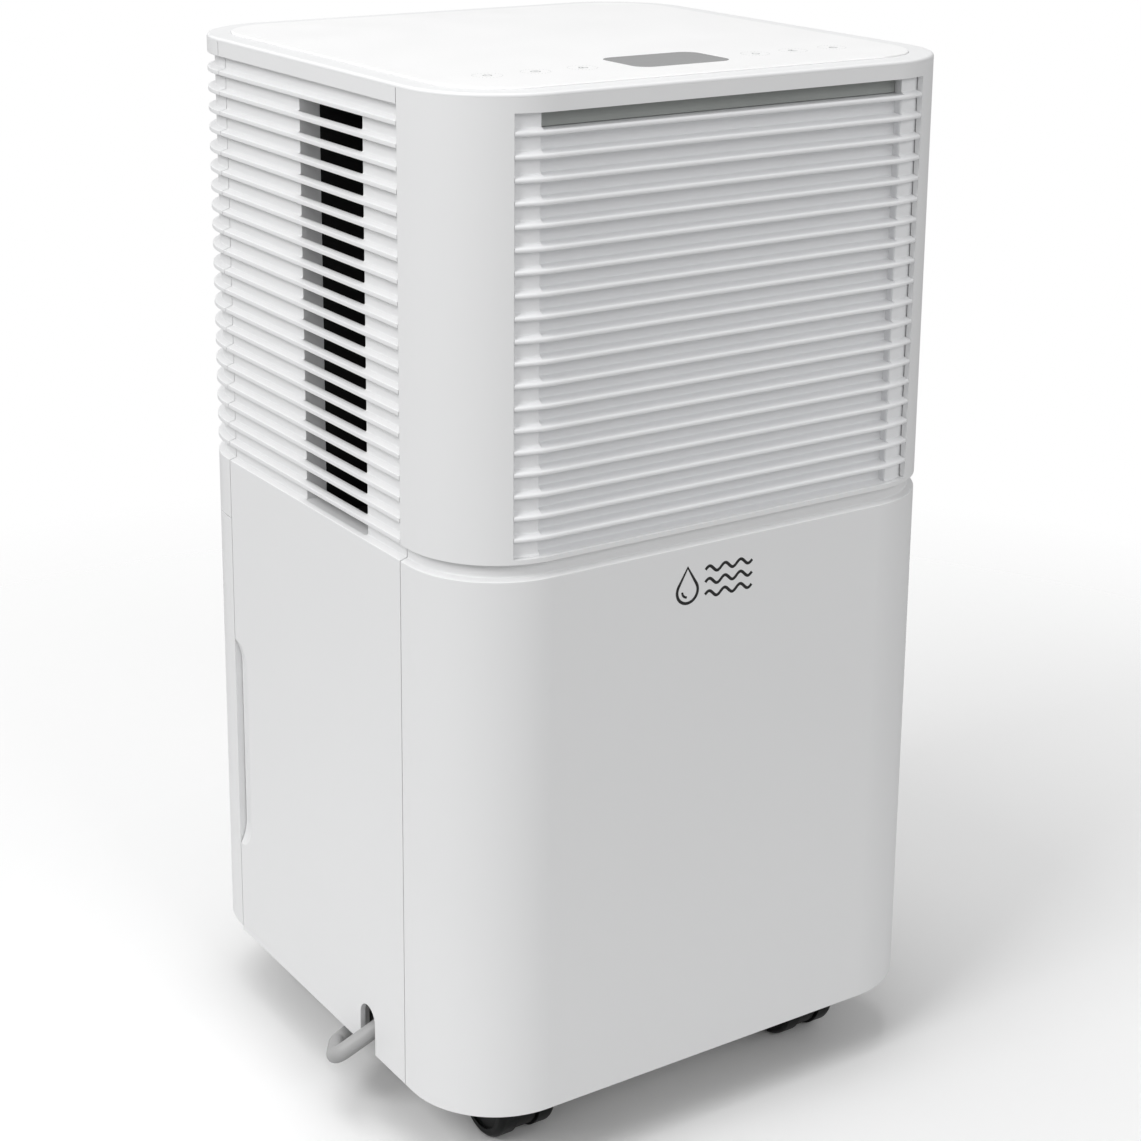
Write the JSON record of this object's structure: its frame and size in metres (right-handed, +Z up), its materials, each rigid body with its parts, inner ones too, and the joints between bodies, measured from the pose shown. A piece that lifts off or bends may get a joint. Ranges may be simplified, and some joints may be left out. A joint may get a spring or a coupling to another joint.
{
  "type": "dehumidifier",
  "caption": "Upright compressor dehumidifier with ribbed upper casing, plain lower casing, touch panel on top, pull-out water tank at the rear and swivel castors.",
  "frame": {"origin": "centre of the casing's footprint on the floor", "axes": "+Z up, the front faces -Y, +X is on the right of someone who looks at the front"},
  "size_m": [0.2653, 0.248, 0.4586],
  "materials": {
    "casing_white": "satin moulded white, fine spark texture",
    "grille_white": "satin moulded white",
    "touch_panel_white": "smooth satin white",
    "display_smoke": "smoked grey window",
    "lens_smoke": "smoked grey light lens",
    "circuit_board": "green solder mask",
    "spring_steel": "bright wire",
    "inner_grey_plastic": "matt moulded light grey",
    "black_plastic": "matt moulded black",
    "filter_net": "woven nylon net",
    "zinc_steel": "zinc plated",
    "tank_plastic": "translucent grey",
    "handle_plastic": "satin light grey",
    "float_foam": "closed-cell foam",
    "magnet_metal": "nickel plated",
    "fin_aluminium": "mill finish",
    "copper_tube": "drawn copper",
    "compressor_black": "satin black enamel",
    "motor_steel": "grey enamel",
    "capacitor_white": "gloss",
    "foot_rubber": "matt rubber",
    "cable_grey": "satin grey sheath",
    "castor_black": "satin moulded black"
  },
  "bodies": {
    "cabinet": {"top_cover": "casing_white", "front_shell": "casing_white", "left_side_panel": "casing_white", "right_side_panel": "casing_white", "front_lower_panel": "casing_white", "rear_panel": "casing_white", "front_grille": "grille_white", "touch_panel": "touch_panel_white", "display_window": "display_smoke", "status_light_lens": "lens_smoke", "display_board": "circuit_board", "status_light_board": "circuit_board", "main_board": "circuit_board", "touch_springs": "spring_steel", "base_pan": "inner_grey_plastic", "bay_partition": "inner_grey_plastic", "mid_deck": "inner_grey_plastic", "drip_tray": "inner_grey_plastic", "cable_clip": "inner_grey_plastic", "coil_shroud": "black_plastic", "fan_scroll_housing": "black_plastic", "motor_bracket": "black_plastic", "terminal_cover": "black_plastic", "tank_full_switch": "black_plastic", "casing_screws": "zinc_steel", "coil_brackets": "zinc_steel", "compressor_base": "zinc_steel", "evaporator_fins": "fin_aluminium", "condenser_fins": "fin_aluminium", "evaporator_tube": "copper_tube", "condenser_tube": "copper_tube", "discharge_pipe": "copper_tube", "suction_pipe": "copper_tube", "capillary_tube": "copper_tube", "compressor": "compressor_black", "fan_motor": "motor_steel", "run_capacitor": "capacitor_white", "compressor_feet": "foot_rubber", "cable_grommet": "foot_rubber", "power_cable": "cable_grey"},
    "tank": {"tank_body": "tank_plastic", "tank_front": "casing_white", "tank_lid": "tank_plastic"},
    "tank_handle": {"tank_handle": "handle_plastic"},
    "tank_float": {"tank_float": "float_foam", "float_magnet": "magnet_metal"},
    "filter": {"filter_cover": "casing_white", "filter_frame": "inner_grey_plastic", "filter_mesh": "filter_net"},
    "fan": {"fan_wheel": "black_plastic", "fan_shaft": "zinc_steel"},
    "castor_front_left": {"castor_housing_front_left": "castor_black"},
    "wheels_front_left": {"castor_wheels_front_left": "castor_black"},
    "castor_front_right": {"castor_housing_front_right": "castor_black"},
    "wheels_front_right": {"castor_wheels_front_right": "castor_black"},
    "castor_rear_left": {"castor_housing_rear_left": "castor_black"},
    "wheels_rear_left": {"castor_wheels_rear_left": "castor_black"},
    "castor_rear_right": {"castor_housing_rear_right": "castor_black"},
    "wheels_rear_right": {"castor_wheels_rear_right": "castor_black"}
  },
  "joints": [
    {"name": "tank_slide", "type": "slide", "parent": "cabinet", "child": "tank", "axis": [0, 1, 0], "range_m": [0, 0.18]},
    {"name": "tank_handle_hinge", "type": "hinge", "parent": "tank", "child": "tank_handle", "pos_m": [0, 0.068, 0.201], "axis": [-1, 0, 0], "range_deg": [0, 90]},
    {"name": "tank_float_hinge", "type": "hinge", "parent": "tank", "child": "tank_float", "pos_m": [-0.062, 0.034, 0.181], "axis": [1, 0, 0], "range_deg": [0, 15]},
    {"name": "filter_slide", "type": "slide", "parent": "cabinet", "child": "filter", "axis": [0, 1, 0], "range_m": [0, 0.05]},
    {"name": "fan_spin", "type": "hinge", "parent": "cabinet", "child": "fan", "pos_m": [0.006, 0, 0.35], "axis": [0, 1, 0], "continuous": true},
    {"name": "swivel_front_left", "type": "hinge", "parent": "cabinet", "child": "castor_front_left", "pos_m": [-0.077, -0.07, 0.046], "axis": [0, 0, 1], "continuous": true},
    {"name": "roll_front_left", "type": "hinge", "parent": "castor_front_left", "child": "wheels_front_left", "pos_m": [-0.077, -0.081, 0.018], "axis": [1, 0, 0], "continuous": true},
    {"name": "swivel_front_right", "type": "hinge", "parent": "cabinet", "child": "castor_front_right", "pos_m": [0.077, -0.07, 0.046], "axis": [0, 0, 1], "continuous": true},
    {"name": "roll_front_right", "type": "hinge", "parent": "castor_front_right", "child": "wheels_front_right", "pos_m": [0.077, -0.081, 0.018], "axis": [1, 0, 0], "continuous": true},
    {"name": "swivel_rear_left", "type": "hinge", "parent": "cabinet", "child": "castor_rear_left", "pos_m": [-0.077, 0.07, 0.046], "axis": [0, 0, 1], "continuous": true},
    {"name": "roll_rear_left", "type": "hinge", "parent": "castor_rear_left", "child": "wheels_rear_left", "pos_m": [-0.077, 0.081, 0.018], "axis": [1, 0, 0], "continuous": true},
    {"name": "swivel_rear_right", "type": "hinge", "parent": "cabinet", "child": "castor_rear_right", "pos_m": [0.077, 0.07, 0.046], "axis": [0, 0, 1], "continuous": true},
    {"name": "roll_rear_right", "type": "hinge", "parent": "castor_rear_right", "child": "wheels_rear_right", "pos_m": [0.077, 0.081, 0.018], "axis": [1, 0, 0], "continuous": true}
  ]
}
